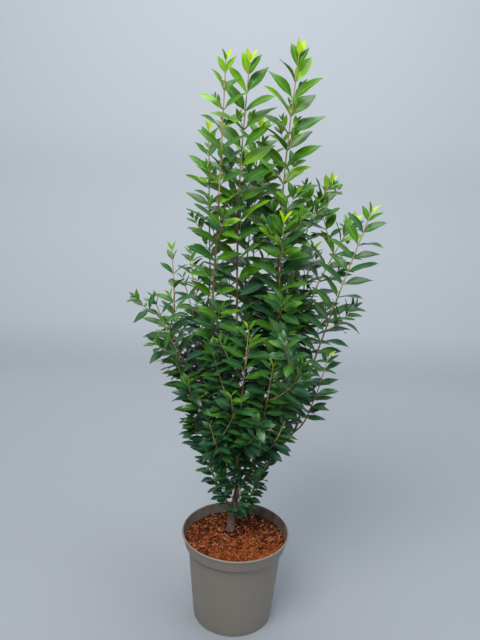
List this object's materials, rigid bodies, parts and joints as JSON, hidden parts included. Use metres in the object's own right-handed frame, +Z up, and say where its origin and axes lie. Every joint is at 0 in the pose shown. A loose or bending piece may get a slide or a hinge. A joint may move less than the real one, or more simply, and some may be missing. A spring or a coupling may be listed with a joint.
{
  "type": "potted privet",
  "caption": "Upright privet shrub with slender leafy stems rising from a short trunk, growing in a round tapered plastic nursery pot topped with bark mulch",
  "frame": {"origin": "the centre of the flat underside of the pot, on the ground", "axes": "+Z up; the side seen in the picture faces -Y; +X is to the right as seen from there, where the outermost stem leans"},
  "size_m": [0.5387, 0.3822, 1.3699],
  "materials": {
    "pot": "smooth moulded taupe-grey plastic, half matt",
    "compost": "dark moist growing medium",
    "mulch": "loose red-brown bark fibre, rough and matt",
    "bark": "thin grey-brown bark with fine pores and cracks",
    "leaf": "smooth, slightly glossy green leaves on green-brown twigs"
  },
  "bodies": {
    "root": {"pot": "pot", "compost": "compost", "mulch": "mulch", "trunk": "bark", "bough_right": "bark", "bough_centre": "bark", "bough_left": "bark", "bough_right_inner": "bark", "bough_right_outer": "bark", "bough_left_front": "bark", "bough_low_left": "bark", "bough_front": "bark", "bough_front_right": "bark", "bough_back": "bark", "bough_back_left": "bark", "bough_back_right": "bark", "shoots_right": "leaf", "shoots_centre": "leaf", "shoots_left": "leaf", "shoots_right_inner": "leaf", "shoots_right_outer": "leaf", "shoots_left_front": "leaf", "shoots_low_left": "leaf", "shoots_front": "leaf", "shoots_front_right": "leaf", "shoots_back": "leaf", "shoots_back_left": "leaf", "shoots_back_right": "leaf", "shoots_foot": "leaf"}
  },
  "joints": []
}
